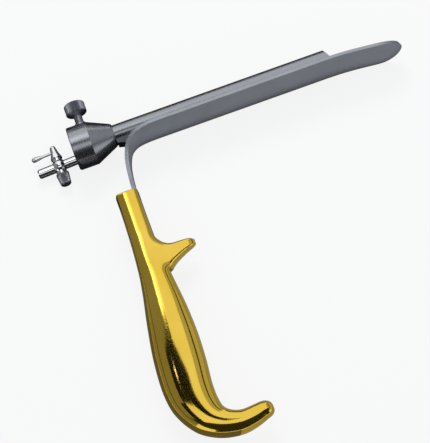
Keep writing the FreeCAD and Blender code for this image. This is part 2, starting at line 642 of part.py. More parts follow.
def make_blade():
    """Blade: one strip of sheet from the tang round the bend to the curved blade. Its rounded tip is
    curled up a little, so that it slides over tissue."""
    body = doc.addObject("PartDesign::Body", "blade")
    seat = -value(TUBE) - size("braze_gap")
    side = V(0, 0, 1)
    lean = math.radians(size("tang_lean"))
    rows = [(size(n + "_x"), size(n + "_y"), size(n + "_half"), size(n + "_camber")) for n, *_ in NECK]
    rows.append((size("blade_start"), seat, size("blade_half"), size("blade_camber")))
    sketches = []
    for number, (x, y, half, camber) in enumerate(rows):
        before = rows[max(number - 1, 0)]
        after = rows[min(number + 1, len(rows) - 1)]
        along = V(after[0] - before[0], after[1] - before[1], 0).normalize()
        if number == 0:
            along = V(math.sin(lean), math.cos(lean), 0)
        if number == len(rows) - 1:
            along = V(1, 0, 0)
        inward = V(along.y, -along.x, 0)
        name = "neck_section_%d" % number
        sketches.append(section(body, name, V(x, y, 0), inward, side, strip(half, camber)))
    loft(body, "neck", sketches)
    tang = body.newObject("PartDesign::Pad", "tang")
    tang.Profile = sketches[0]
    tang.setExpression("Length", bound("tang_length"))

    turn = math.radians(size("bend_turn"))
    radius = size("bend_radius")
    start = V(size("blade_start"), seat, 0)
    bend = V(size("bend_start"), seat, 0)
    half_way = bend + V(radius * math.sin(turn / 2), -radius * (1 - math.cos(turn / 2)), 0)
    out = bend + V(radius * math.sin(turn), -radius * (1 - math.cos(turn)), 0)
    rest = (size("lift_start") - out.x) / math.cos(turn)
    lift = out + V(rest * math.cos(turn), -rest * math.sin(turn), 0)
    curl = size("lift_radius")
    centre = lift + V(curl * math.sin(turn), curl * math.cos(turn), 0)
    halves = [math.radians(size("lift_turn")) * share - turn for share in (0.5, 1)]
    curl_mid, end = [centre + V(curl * math.sin(angle), -curl * math.cos(angle), 0) for angle in halves]
    route = body.newObject("Sketcher::SketchObject", "blade_route")
    route.AttachmentSupport = [(plane(body, "XY_Plane"), "")]
    route.MapMode = "FlatFace"
    route.addGeometry(Part.LineSegment(start, bend))
    route.addGeometry(Part.Arc(bend, half_way, out))
    route.addGeometry(Part.LineSegment(out, lift))
    route.addGeometry(Part.Arc(lift, curl_mid, end))
    curves = strip(size("blade_half"), size("blade_camber"))
    profile = section(body, "blade_section", start, V(0, -1, 0), side, curves)
    sweep = body.newObject("PartDesign::AdditivePipe", "blade_sweep")
    sweep.Profile = profile
    sweep.Spine = (route, [""])

    half = size("blade_half")
    oval = size("tip_oval")
    round_start = size("blade_tip") - oval
    angles = [math.pi * (step / CURVE_STEPS - 0.5) for step in range(CURVE_STEPS + 1)]
    tip = [V(round_start + oval * math.cos(angle), half * math.sin(angle), 0) for angle in angles]
    outer = half + oval
    corners = (
        tip[-1],
        V(round_start, outer, 0),
        V(round_start + 2 * oval, outer, 0),
        V(round_start + 2 * oval, -outer, 0),
        V(round_start, -outer, 0),
        tip[0],
    )
    trim = body.newObject("Sketcher::SketchObject", "tip_shape")
    trim.AttachmentSupport = [(plane(body, "XZ_Plane"), "")]
    trim.MapMode = "FlatFace"
    trim.addGeometry(spline(tip))
    for first, last in zip(corners, corners[1:]):
        trim.addGeometry(Part.LineSegment(first, last))
    cut = body.newObject("PartDesign::Pocket", "tip_trim")
    cut.Profile = trim
    cut.Type = "ThroughAll"
    cut.SideType = "Symmetric"
    return body


def make_saddle():
    """Saddle: the small block that carries the tube on the bend of the blade."""
    body = doc.addObject("PartDesign::Body", "tube_saddle")
    block = body.newObject("PartDesign::Pad", "saddle_block")
    block.Profile = outline(body, "saddle_shape", (
        ("cone_end + nose_length + braze_gap", "-(%s) + saddle_rise" % TUBE),
        ("cone_end + nose_length + braze_gap", "-(%s) - saddle_drop" % TUBE),
        ("bend_mid_x - 2 * saddle_drop", "-(%s) - 2 * saddle_drop" % TUBE),
        ("bend_mid_x + saddle_foot_x", "bend_mid_y + saddle_foot_y"),
        ("bend_high_x", "bend_high_y + saddle_heel"),
        ("bend_high_x", "-(%s) + saddle_rise" % TUBE),
    ))
    block.SideType = "Symmetric"
    block.setExpression("Length", bound("2 * saddle_half"))
    drill(body, "tube_seat", TUBE + " + braze_gap", "flare_x", turn=TO_X)
    return body


def half_oval(half, thick, square):
    """One side of a rounded section: a curve over the thickness and the line that closes it."""
    points = []
    for step in range(CURVE_STEPS + 1):
        angle = math.pi * step / CURVE_STEPS
        across = abs(math.cos(angle)) ** (2 / square)
        up = max(math.sin(angle), 0) ** (2 / square)
        points.append(V(math.copysign(across, math.cos(angle)) * half, up * thick, 0))
    points[-1] = V(-half, 0, 0)
    return (spline(points), Part.LineSegment(points[-1], points[0]))


def oval_loft(body, name, rows):
    """Loft through half ovals: each row is (centre, across, half width, half thickness, squareness)."""
    sketches = []
    sideways = V(0, 0, 1) if body.Label.endswith("near") else V(0, 0, -1)
    for number, (centre, across, half, thick, square) in enumerate(rows):
        curves = half_oval(half, thick, square)
        sketches.append(section(body, "%s_%d" % (name, number), centre, across, sideways, curves))
    loft(body, name, sketches)


def rounded_end(row, forward, reach):
    """Sections that close a loft with a rounded end."""
    centre, across, half, thick, square = row
    rows = []
    for share in CLOSING:
        shrink = math.sqrt(1 - share * share)
        rows.append((centre + forward * reach * share, across, half * shrink, thick * shrink, square))
    return rows


def round_top(body, cut, height, radius):
    """Round the outer edge that a body has at one height, away from its flat side."""
    doc.recompute()
    names = []
    for number, edge in enumerate(cut.Shape.Edges):
        box = edge.BoundBox
        if box.YMin > height - FIT and box.YMax < height + FIT and box.ZLength > radius:
            names.append("Edge%d" % (number + 1))
    fillet = body.newObject("PartDesign::Fillet", body.Label + "_edge")
    fillet.Base = (cut, names)
    fillet.setExpression("Radius", bound("top_round"))


def make_grip(label):
    """One pressed half of the handle, with the hollow inside and the slot for the tang."""
    body = doc.addObject("PartDesign::Body", label)
    rows = []
    for name, *_ in GRIP:
        back = V(size(name + "_back_x"), size(name + "_back_y"), 0)
        front = V(size(name + "_front_x"), size(name + "_front_y"), 0)
        across = (front - back).normalize()
        half = (front - back).Length / 2
        rows.append(((front + back) * 0.5, across, half, size(name + "_thick"), size(name + "_square")))
    rows += rounded_end(rows[-1], V(across.y, -across.x, 0), size("curl_round"))
    oval_loft(body, label + "_grip", rows)
    rows = []
    for name, *_ in SPUR:
        upper = size(name + "_upper")
        lower = size(name + "_lower")
        centre = V(size(name + "_x"), (upper + lower) / 2, 0)
        rows.append((centre, V(0, 1, 0), (upper - lower) / 2, size(name + "_thick"), size("spur_square")))
    rows += rounded_end(rows[-1], V(1, 0, 0), size("spur_round"))
    oval_loft(body, label + "_spur", rows)

    hollow = [name for name, *_ in GRIP if name in HOLLOW]
    corners = [(name + "_back_x + shell_rim", name + "_back_y") for name in hollow]
    corners += [(name + "_front_x - shell_rim", name + "_front_y") for name in reversed(hollow)]
    pocket = body.newObject("PartDesign::Pocket", label + "_hollow")
    pocket.Profile = outline(body, label + "_hollow_shape", corners)
    pocket.setExpression("Length", bound("shell_depth"))
    pocket.Reversed = label.endswith("near")
    round_top(body, pocket, size("top_front_y"), size("top_round"))
    low = ("tang_top_x - (tang_length + braze_gap) * sin(tang_lean) - braze_gap * cos(tang_lean)",
           "tang_top_y - (tang_length + braze_gap) * cos(tang_lean) + braze_gap * sin(tang_lean)",
           "-(tang_top_half + braze_gap)")
    slot = body.newObject("PartDesign::SubtractiveBox", label + "_slot")
    slot.setExpression("Length", bound("strap_thick + 2 * braze_gap"))
    slot.setExpression("Width", bound("tang_length + 2 * cut_over"))
    slot.setExpression("Height", bound("2 * (tang_top_half + braze_gap)"))
    place(slot, *low, turn=FreeCAD.Rotation(V(0, 0, 1), -size("tang_lean")))
    return body


def parts():
    """Every piece of the retractor."""
    pieces = [make_housing(), make_tube(), make_blade(), make_saddle()]
    pieces += make_seal()
    pieces += make_clamp()
    pieces += make_cock()
    pieces.append(make_grip("handle_half_near"))
    pieces.append(make_grip("handle_half_far"))
    return pieces


def check_and_write(pieces):
    """Stop on anything that failed, then write one file for each piece."""
    doc.recompute()
    for item in doc.Objects:
        for state in item.State:
            if state in ("Invalid", "Error"):
                raise RuntimeError("%s is %s" % (item.Label, state))
    os.makedirs("parts", exist_ok=True)
    for piece in pieces:
        shape = piece.Shape
        if shape.isNull() or not shape.isValid() or len(shape.Solids) < 1:
            raise RuntimeError("%s has no valid solid" % piece.Label)
    for piece in pieces:
        piece.Shape.exportStep("parts/%s.step" % piece.Label)


check_and_write(parts())
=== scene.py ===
import math

import bmesh
import bpy
from mathutils import Matrix, Vector


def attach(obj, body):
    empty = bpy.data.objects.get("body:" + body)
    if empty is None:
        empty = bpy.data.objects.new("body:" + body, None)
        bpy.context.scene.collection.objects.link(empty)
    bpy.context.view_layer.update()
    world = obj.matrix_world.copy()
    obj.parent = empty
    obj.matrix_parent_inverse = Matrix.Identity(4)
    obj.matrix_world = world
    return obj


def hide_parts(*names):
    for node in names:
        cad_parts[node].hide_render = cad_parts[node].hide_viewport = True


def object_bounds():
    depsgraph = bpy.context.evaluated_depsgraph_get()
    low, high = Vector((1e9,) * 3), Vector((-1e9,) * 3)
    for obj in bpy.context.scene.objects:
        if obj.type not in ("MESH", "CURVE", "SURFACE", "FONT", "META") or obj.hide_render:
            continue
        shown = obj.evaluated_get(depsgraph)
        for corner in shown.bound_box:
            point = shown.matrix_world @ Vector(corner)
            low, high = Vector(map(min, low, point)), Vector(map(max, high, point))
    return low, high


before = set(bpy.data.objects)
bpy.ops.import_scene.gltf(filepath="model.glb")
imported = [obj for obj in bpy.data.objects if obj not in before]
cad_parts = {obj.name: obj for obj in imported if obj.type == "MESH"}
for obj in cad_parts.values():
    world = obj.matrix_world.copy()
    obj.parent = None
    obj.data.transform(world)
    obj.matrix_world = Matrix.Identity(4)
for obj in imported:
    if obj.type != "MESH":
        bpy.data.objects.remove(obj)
cad_low, cad_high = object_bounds()


# Camera. The instrument lies on its far side on a table and is looked down on steeply from
# the grip's end, with the tube running up to the right. One picture dot is 0.6 mm.
PICTURE_HIGH = 0.2658
SENSOR = 36
LENS_AWAY = 2.0
LENS_AIM = Vector((0.06675, -0.0757, 0))
LENS_SIDE = Vector((0.94206, -0.33545 * 0.927, -0.33545 * 0.375)).normalized()
LENS_BACK = Vector((0, -0.375, 0.927)).normalized()
camera_data = bpy.data.cameras.new("photo_camera")
camera = bpy.data.objects.new("photo_camera", camera_data)
bpy.context.scene.collection.objects.link(camera)
camera_turn = Matrix((LENS_SIDE, LENS_BACK.cross(LENS_SIDE), LENS_BACK)).transposed().to_4x4()
camera.matrix_world = Matrix.Translation(LENS_AIM + LENS_BACK * LENS_AWAY) @ camera_turn
camera_data.sensor_width = SENSOR
camera_data.lens = SENSOR * LENS_AWAY / PICTURE_HIGH
camera_data.clip_start = 0.05
camera_data.clip_end = 60
bpy.context.scene.camera = camera
bpy.context.scene.view_settings.view_transform = "Standard"


# Studio. A pale floor under a white tent: the tent and the floor show white to the lens and in
# the metal, and the floor keeps the instrument's own soft shadow.
FLOOR_GAP = 0.0002
FLOOR_WIDE = 24
FLOOR_SHADE = 0.86
FLOOR_LIT = 0.86
TENT_WHITE = 0.99


def tree_of(owner):
    """An empty node tree on a material or the world, and a function that adds a node to it."""
    owner.use_nodes = True
    tree = owner.node_tree
    tree.nodes.clear()

    def add(kind, **settings):
        node = tree.nodes.new(kind)
        for name, value in settings.items():
            if hasattr(node, name):
                setattr(node, name, value)
            else:
                node.inputs[name].default_value = value
        return node

    return tree, add


def seen_white(tree, add):
    """How far a ray is one that the lens, a mirror or glass sends out."""
    path = add("ShaderNodeLightPath")
    first = add("ShaderNodeMath", operation="ADD", use_clamp=True)
    second = add("ShaderNodeMath", operation="ADD", use_clamp=True)
    tree.links.new(path.outputs["Is Camera Ray"], first.inputs[0])
    tree.links.new(path.outputs["Is Glossy Ray"], first.inputs[1])
    tree.links.new(first.outputs[0], second.inputs[0])
    tree.links.new(path.outputs["Is Transmission Ray"], second.inputs[1])
    return second.outputs[0]


world = bpy.data.worlds.new("tent")
bpy.context.scene.world = world
tree, add = tree_of(world)
soft_fill = add("ShaderNodeBackground", Color=(0.9, 0.95, 1.0, 1), Strength=0.55)
tent_wall = add("ShaderNodeBackground", Color=(1, 1, 1, 1), Strength=TENT_WHITE)
tent_mix = add("ShaderNodeMixShader")
tent_out = add("ShaderNodeOutputWorld")
tree.links.new(seen_white(tree, add), tent_mix.inputs[0])
tree.links.new(soft_fill.outputs[0], tent_mix.inputs[1])
tree.links.new(tent_wall.outputs[0], tent_mix.inputs[2])
tree.links.new(tent_mix.outputs[0], tent_out.inputs[0])


def flat_card(name, centre, right, up, wide, high):
    """A flat stage card about centre, wide along right and high along up."""
    shape = bmesh.new()
    bmesh.ops.create_grid(shape, x_segments=1, y_segments=1, size=0.5)
    right, up = Vector(right).normalized(), Vector(up).normalized()
    turn = Matrix((right, up, right.cross(up))).transposed().to_4x4()
    spread = Matrix.Diagonal((wide, high, 1, 1))
    bmesh.ops.transform(shape, matrix=Matrix.Translation(centre) @ turn @ spread, verts=shape.verts)
    mesh = bpy.data.meshes.new(name)
    shape.to_mesh(mesh)
    shape.free()
    card = bpy.data.objects.new(name, mesh)
    bpy.context.scene.collection.objects.link(card)
    return card


floor_paint = bpy.data.materials.new("floor_paint")
tree, add = tree_of(floor_paint)
matt = add("ShaderNodeBsdfDiffuse", Color=(FLOOR_SHADE, FLOOR_SHADE, FLOOR_SHADE, 1))
lit = add("ShaderNodeEmission", Color=(1, 1, 1, 1), Strength=TENT_WHITE)
floor_mix = add("ShaderNodeMixShader")
part_lit = add("ShaderNodeMath", operation="MULTIPLY")
part_lit.inputs[1].default_value = FLOOR_LIT
floor_out = add("ShaderNodeOutputMaterial")
tree.links.new(seen_white(tree, add), part_lit.inputs[0])
tree.links.new(part_lit.outputs[0], floor_mix.inputs[0])
tree.links.new(matt.outputs[0], floor_mix.inputs[1])
tree.links.new(lit.outputs[0], floor_mix.inputs[2])
tree.links.new(floor_mix.outputs[0], floor_out.inputs[0])
floor = flat_card("floor", (0.06, -0.07, cad_low.z - FLOOR_GAP), (1, 0, 0), (0, 1, 0), FLOOR_WIDE, FLOOR_WIDE)
floor.data.materials.append(floor_paint)


# Studio cards. Dark, grey and white cards hang over the instrument, stand round it and lie on the
# floor, so that the metal shows dark bands between white ones. Only mirror rays find them.
def card_paint(name, shade):
    """A card's even shade, which no lamp changes."""
    paint = bpy.data.materials.new(name)
    tree, add = tree_of(paint)
    glow = add("ShaderNodeEmission", Color=(shade, shade, shade * 1.04, 1), Strength=1.0)
    out = add("ShaderNodeOutputMaterial")
    tree.links.new(glow.outputs[0], out.inputs[0])
    return paint


def studio_card(name, shade, *place):
    """A card that only the shiny metal sees."""
    card = flat_card(name, *place)
    card.data.materials.append(card_paint(name + "_paint", shade))
    card.visible_camera = False
    card.visible_diffuse = False
    card.visible_shadow = False
    card.visible_transmission = False


studio_card("card_over_dark", 0.012, (-0.1325, 0.02, 0.5), (1, 0, 0), (0, 1, 0), 0.235, 0.16)
studio_card("card_over_slant", 0.012, (0.03, -0.03, 0.505), (1, -0.6, 0), (0.6, 1, 0), 0.17, 0.13)
studio_card("card_over_side", 0.012, (-0.29, -0.2, 0.5), (1, 0, 0), (0, 1, 0), 0.18, 0.27)
studio_card("card_over_pale", 1.5, (-0.03, 0.24, 0.5), (1, 0, 0), (0, 1, 0), 0.1, 0.26)
studio_card("card_streak", 3.4, (-0.058, 0.24, 0.49), (1, 0, 0), (0, 1, 0), 0.045, 0.26)
studio_card("card_over_olive", 0.26, (-0.33, 0.18, 0.51), (1, 0, 0), (0, 1, 0), 0.5, 0.5)
studio_card("card_glint", 3.0, (-0.12, 0.02, 0.49), (1, 0.2, 0), (-0.2, 1, 0), 0.02, 0.02)
studio_card("card_left", 0.26, (-0.6, 0.2, 0.53), (0, 1, 0), (0, 0, 1), 1.4, 1.05)
studio_card("card_left_gap", 0.02, (-0.59, 0.2, 0.36), (0, 1, 0), (0, 0, 1), 1.4, 0.05)
studio_card("card_right", 0.5, (0.72, 0.2, 0.53), (0, 1, 0), (0, 0, 1), 1.4, 1.05)
studio_card("card_right_gap", 0.03, (0.71, 0.3, 0.42), (0, 1, 0), (0, 0, 1), 1.2, 0.14)
studio_card("card_front_over", 0.03, (0.1, -0.80, 0.5), (1, 0, 0), (0, 1, 0), 1.4, 1.0)
studio_card("card_front_low", 0.03, (0.1, -1.30, 0.27), (1, 0, 0), (0, 0, 1), 1.6, 0.5)
studio_card("card_back_low", 0.03, (0.0, 0.9, 0.1), (1, 0, 0), (0, 0, 1), 1.2, 0.2)
LOW = cad_low.z + FLOOR_GAP
studio_card("card_under_blade", 0.36, (0.288, -0.05, LOW), (1, 0, 0), (0, 1, 0), 0.5, 0.7)
studio_card("card_under_strip", 0.1, (0.288, 0.0, LOW + FLOOR_GAP), (1, 0, 0), (0, 1, 0), 0.5, 0.026)
studio_card("card_under_back", 0.02, (0.288, 0.17, LOW + FLOOR_GAP), (1, 0, 0), (0, 1, 0), 0.5, 0.3)
studio_card("card_under_grip", 0.13, (-0.181, -0.245, LOW), (1, 0, 0), (0, 1, 0), 0.438, 0.41)
studio_card("card_under_housing", 0.02, (-0.181, 0.13, LOW), (1, 0, 0), (0, 1, 0), 0.438, 0.34)

lamp_data = bpy.data.lights.new("key_box", "AREA")
lamp_data.shape = "RECTANGLE"
lamp_data.size = 0.5
lamp_data.size_y = 0.4
lamp_data.energy = 6
key_box = bpy.data.objects.new("key_box", lamp_data)
bpy.context.scene.collection.objects.link(key_box)
key_place = Vector((0.25, 0.75, 0.9))
key_turn = key_place.to_track_quat("Z", "Y").to_matrix().to_4x4()
key_box.matrix_world = Matrix.Translation(key_place) @ key_turn
key_box.visible_glossy = False


# Handle halves. Two halves pressed from brass sheet, brazed along the middle plane, ground
# round and polished, then plated with gold. A faint line is left where the halves meet.
MM = 0.001
# The grip's rows run from its top down to its foot: X and Y of the back edge, X and Y of the front
# edge, half thickness and squareness. A squareness of 2 is an ellipse.
GRIP_BACK_FRONT = (
    (14.9, -40.4, 29.3, -40.4, 7.5, 3.4),
    (14.8, -60, 29.4, -60, 7.5, 3.2),
    (13.9, -82, 30.2, -82, 7.7, 3.0),
    (12, -101, 32.3, -101, 8.0, 2.6),
    (7.4, -127, 34.8, -127, 8.9, 2.25),
    (4.3, -151, 35.0, -151, 9.5, 2.2),
    (4.1, -172.5, 33.4, -172.5, 9.4, 2.2),
    (8, -186.9, 34.1, -184.2, 9.2, 2.2),
    (17, -199.3, 36.2, -189.4, 8.7, 2.2),
    (30, -206.2, 40.6, -192.6, 8.0, 2.2),
    (43, -208, 45.6, -193.8, 7.2, 2.1),
    (52.4, -206, 51.6, -193.3, 6.3, 2.1),
    (57.9, -204, 56.8, -192.9, 5.6, 2.0),
)
GRIP_SIDES = 12
GRIP_PLACES = (
    0.2, 0.6, 1.0, 1.3, 1.523, 1.818, 2.132, 2.474, 2.816, 3.3, 3.75, 4.3, 4.75, 5.3, 5.8, 6.3, 6.75,
    7.2, 7.6, 8, 8.5, 9, 9.5, 10, 10.6, 11.3, 12,
)
# How far the rings that round the top and the foot are drawn in, and how far they are pushed along.
TOP_ROUND = ((2.2, 0.0), (0.9, 0.0), (0.25, 0.22), (0.0, 1.0))
FOOT_ROUND = ((0.8, 2.8), (2.4, 4.7), (4.1, 5.5))
# The spur's rows run outwards: X at its upper and its lower edge, Y of the two edges, half thickness.
SPUR_ROWS = (
    (30.9, 32.6, -74.8, -95.8, 6.2),
    (33.6, 35.0, -78.0, -93.8, 5.7),
    (37.2, 38.2, -79.9, -91.5, 5.1),
    (41.8, 42.3, -80.3, -89.3, 4.6),
    (46.0, 46.1, -80.4, -87.6, 4.0),
    (49.4, 49.4, -80.9, -86.4, 3.0),
)
SPUR_TIP = (51.4, 51.4, -82.2, -85.2, 1.6)
SPUR_SQUARE = 3.2
SPUR_FIRST, SPUR_LAST, SPUR_REACH = 8, 12, 2
SPUR_CORNER = 22.5
SPUR_INNER_UP, SPUR_INNER_SIDE = 0.27, 0.5
SEAM_WIDTH = 0.12
SEAM_DEEP = 0.08
CUT_REACH = 1e-7


def smooth_row(rows, place):
    """The row at a place between rows, on a smooth curve through them all."""
    here = min(int(place), len(rows) - 2)
    share = place - here
    picked = [rows[max(here - 1, 0)], rows[here], rows[here + 1], rows[min(here + 2, len(rows) - 1)]]
    made = []
    for before, start, end, after in zip(*picked):
        slope_in, slope_out = (end - before) / 2, (after - start) / 2
        made.append(
            start * (2 * share**3 - 3 * share**2 + 1)
            + slope_in * (share**3 - 2 * share**2 + share)
            + end * (-2 * share**3 + 3 * share**2)
            + slope_out * (share**3 - share**2)
        )
    return made


def grip_ring(row, shrink=0.0, push=0.0):
    """The points of one ring round the grip, from the front edge over the near side to the back."""
    back, front = Vector((row[0], row[1], 0)), Vector((row[2], row[3], 0))
    across = (front - back).normalized()
    along = Vector((across.y, -across.x, 0))
    middle, half = (front + back) / 2 + along * push, (front - back).length / 2
    ring = []
    for step in range(GRIP_SIDES):
        angle = 2 * math.pi * step / GRIP_SIDES
        wide = math.copysign(abs(math.cos(angle)) ** (2 / row[5]), math.cos(angle))
        deep = math.copysign(abs(math.sin(angle)) ** (2 / row[5]), math.sin(angle))
        side = across * (half - shrink) * wide
        ring.append((middle + side + Vector((0, 0, (row[4] - shrink) * deep))) * MM)
    return ring


def carry_ring(shape, edges, ring, row):
    """Extrude a loop of edges onto a ring. A corner keeps its number from ring to ring."""
    made = bmesh.ops.extrude_edge_only(shape, edges=edges)["geom"]
    for item in made:
        if isinstance(item, bmesh.types.BMVert):
            item.co = ring[item[shape.verts.layers.int["corner"]]]
            item[shape.verts.layers.int["row"]] = row
    return [item for item in made if isinstance(item, bmesh.types.BMEdge)]


def settled(targets, turns=8):
    """Move the cage until its subdivided surface runs through the targets."""
    for _ in range(turns):
        steps = []
        for corner, target in targets:
            if any(len(face.verts) != 4 for face in corner.link_faces):
                continue
            count = len(corner.link_edges)
            near = sum((edge.other_vert(corner).co for edge in corner.link_edges), Vector())
            far = Vector()
            for face in corner.link_faces:
                touching = {corner} | {edge.other_vert(corner) for edge in corner.link_edges}
                for other in face.verts:
                    if other not in touching:
                        far += other.co
            limit = (corner.co * count * count + near * 4 + far) / (count * (count + 5))
            steps.append((corner, target - limit))
        for corner, step in steps:
            corner.co = corner.co + step


def finished_object(name, shape):
    """The bmesh as an object at the origin."""
    bmesh.ops.recalc_face_normals(shape, faces=shape.faces)
    for face in shape.faces:
        face.smooth = True
    mesh = bpy.data.meshes.new(name)
    shape.to_mesh(mesh)
    shape.free()
    made = bpy.data.objects.new(name, mesh)
    bpy.context.scene.collection.objects.link(made)
    return made


cage = bmesh.new()
corner_layer = cage.verts.layers.int.new("corner")
row_layer = cage.verts.layers.int.new("row")
first, *rings = [grip_ring(GRIP_BACK_FRONT[0], *drawn) for drawn in TOP_ROUND]
rings += [grip_ring(smooth_row(GRIP_BACK_FRONT, place)) for place in GRIP_PLACES]
rings += [grip_ring(GRIP_BACK_FRONT[-1], *drawn) for drawn in FOOT_ROUND]
bmesh.ops.create_circle(cage, cap_ends=True, segments=GRIP_SIDES, radius=1)
cage.verts.ensure_lookup_table()
for number, corner in enumerate(cage.verts):
    corner.co = first[number]
    corner[corner_layer] = number
loop = list(cage.edges)
goals = {}
for number, ring in enumerate(rings):
    loop = carry_ring(cage, loop, ring, number + 1)
    for edge in loop:
        for corner in edge.verts:
            goals[corner] = corner.co.copy()
bmesh.ops.contextual_create(cage, geom=loop)


def turn_of(corner):
    """How many corners round the grip a corner lies from the front edge, below 0 on the far side."""
    return (corner[corner_layer] + GRIP_SIDES // 2) % GRIP_SIDES - GRIP_SIDES // 2


root = []
for face in cage.faces:
    rows = {corner[row_layer] for corner in face.verts}
    turns = {abs(turn_of(corner)) for corner in face.verts}
    if min(rows) >= SPUR_FIRST and max(rows) <= SPUR_LAST and max(turns) <= SPUR_REACH:
        root.append(face)
for x_upper, x_lower, upper, lower, thick in SPUR_ROWS + (SPUR_TIP,):
    made = bmesh.ops.extrude_face_region(cage, geom=root)["geom"]
    bmesh.ops.delete(cage, geom=root, context="FACES")
    root = [item for item in made if isinstance(item, bmesh.types.BMFace)]
    middle, half = (upper + lower) / 2, (upper - lower) / 2
    for corner in [item for item in made if isinstance(item, bmesh.types.BMVert)]:
        turn = turn_of(corner)
        row = corner[row_layer] - SPUR_FIRST
        last_row = SPUR_LAST - SPUR_FIRST
        x = x_upper + (x_lower - x_upper) * row / last_row
        if abs(turn) == SPUR_REACH:
            angle = math.radians(SPUR_CORNER * (SPUR_REACH + row))
        elif row == 0:
            angle = math.radians(SPUR_CORNER * abs(turn))
        elif row == last_row:
            angle = math.radians(180 - SPUR_CORNER * abs(turn))
        else:
            angle = None
        if angle is None:
            up = half * (last_row / 2 - row) * SPUR_INNER_UP
            spot = Vector((x, middle + up, thick * turn * SPUR_INNER_SIDE))
        else:
            high = math.copysign(abs(math.cos(angle)) ** (2 / SPUR_SQUARE), math.cos(angle))
            deep = math.copysign(max(math.sin(angle), 0) ** (2 / SPUR_SQUARE), turn)
            spot = Vector((x, middle + half * high, thick * deep))
        corner.co = spot * MM
        goals[corner] = corner.co.copy()
settled([(corner, goal) for corner, goal in goals.items() if corner.is_valid])
handle = finished_object("handle_cage", cage)
round_off = handle.modifiers.new("round", "SUBSURF")
round_off.levels = round_off.render_levels = 3
whole = bpy.data.meshes.new_from_object(handle.evaluated_get(bpy.context.evaluated_depsgraph_get()))
bpy.data.objects.remove(handle)

gold_plate = bpy.data.materials.new("gold_plate")
tree, add = tree_of(gold_plate)
place = add("ShaderNodeTexCoord")
gold = add("ShaderNodeBsdfPrincipled", Metallic=1.0, Roughness=0.08)
hairline = add("ShaderNodeTexNoise", Scale=900.0, Detail=4.0)
cloud = add("ShaderNodeTexNoise", Scale=35.0, Detail=3.0)
tone = add("ShaderNodeValToRGB")
tone.color_ramp.elements[0].position = 0.35
tone.color_ramp.elements[0].color = (0.78, 0.53, 0.06, 1)
tone.color_ramp.elements[1].position = 0.7
tone.color_ramp.elements[1].color = (0.85, 0.60, 0.095, 1)
polish = add("ShaderNodeMapRange")
polish.inputs["To Min"].default_value = 0.05
polish.inputs["To Max"].default_value = 0.13
ripple = add("ShaderNodeBump", Strength=0.03, Distance=0.0002)
out = add("ShaderNodeOutputMaterial")
tree.links.new(place.outputs["Object"], hairline.inputs["Vector"])
tree.links.new(place.outputs["Object"], cloud.inputs["Vector"])
tree.links.new(cloud.outputs["Fac"], tone.inputs[0])
tree.links.new(tone.outputs[0], gold.inputs["Base Color"])
tree.links.new(hairline.outputs["Fac"], polish.inputs["Value"])
tree.links.new(polish.outputs[0], gold.inputs["Roughness"])
tree.links.new(hairline.outputs["Fac"], ripple.inputs["Height"])
tree.links.new(ripple.outputs[0], gold.inputs["Normal"])
tree.links.new(gold.outputs[0], out.inputs[0])

for node, side in (("handle_half_near", 1), ("handle_half_far", -1)):
    shape = bmesh.new()
    shape.from_mesh(whole)
    everything = list(shape.verts) + list(shape.edges) + list(shape.faces)
    cut = bmesh.ops.bisect_plane(
        shape, geom=everything, dist=CUT_REACH, plane_co=(0, 0, 0), plane_no=(0, 0, -side), clear_outer=True
    )
    rim = [item for item in cut["geom_cut"] if isinstance(item, bmesh.types.BMEdge)]
    edge_corners = {corner for edge in rim for corner in edge.verts}
    everything = list(shape.verts) + list(shape.edges) + list(shape.faces)
    bmesh.ops.bisect_plane(
        shape, geom=everything, dist=CUT_REACH, plane_co=(0, 0, side * SEAM_WIDTH * MM), plane_no=(0, 0, side)
    )
    shape.normal_update()
    for corner in edge_corners:
        corner.co -= Vector((corner.normal.x, corner.normal.y, 0)).normalized() * SEAM_DEEP * MM
    bmesh.ops.triangle_fill(shape, edges=rim, use_beauty=True)
    half = finished_object(node + "_shell", shape)
    half.data.materials.append(gold_plate)
    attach(half, "frame")
    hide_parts(node)
bpy.data.meshes.remove(whole)


# Blade. A long strip of stainless steel, bent up from the grip's tang into the blade, hollowed
# slightly across towards the tube, rounded and curled up at its tip and blasted to a dull slate grey.
STRAP_THICK = 2.4
# The rows run from the tang to the tip: X and Y of the upper face, half width and rise at the edges.
STRAP_ROWS = (
    (24.543, -62.95, 4.8, 0.0),
    (25.55, -47.0, 4.8, 0.0),
    (26.05, -39.0, 4.8, 0.0),
    (26.45, -33.0, 5.9, 0.0),
    (27.1, -26.0, 6.3, 0.0),
    (28.4, -19.6, 6.8, 0.1),
    (30.6, -13.9, 7.6, 0.3),
    (33.5, -10.1, 9.0, 0.7),
    (37.9, -7.5, 10.6, 1.2),
    (43.9, -6.35, 12.0, 1.7),
    (52.0, -6.05, 12.8, 2.0),
    (66.0, -6.05, 12.8, 2.0),
    (88.0, -6.05, 12.8, 2.0),
    (112.0, -6.05, 12.8, 2.0),
    (136.0, -6.05, 12.8, 2.0),
    (150.0, -6.05, 12.8, 2.0),
    (161.0, -6.05, 12.8, 2.0),
    (168.21, -6.18, 12.8, 2.0),
    (175.42, -6.57, 12.8, 2.0),
    (182.6, -7.22, 12.8, 2.0),
    (188.0, -7.806, 12.8, 2.0),
    (193.3, -8.382, 12.8, 2.0),
    (196.54, -8.557, 12.8, 2.0),
    (199.676, -8.393, 12.8, 2.0),
    (202.777, -7.901, 12.8, 2.0),
    (205.81, -7.089, 12.8, 2.0),
    (208.742, -5.963, 12.8, 2.0),
    (210.53, -5.095, 12.8, 2.0),
)
ROUND_START = 193.4
ROUND_LONG = 15.1
ACROSS = 20
ALONG = 150
TIP_STEPS = 16
HALVINGS = 40
SLOPE_STEP = 0.01
EDGE_ROUND = 0.6
EDGE_FROM = 50


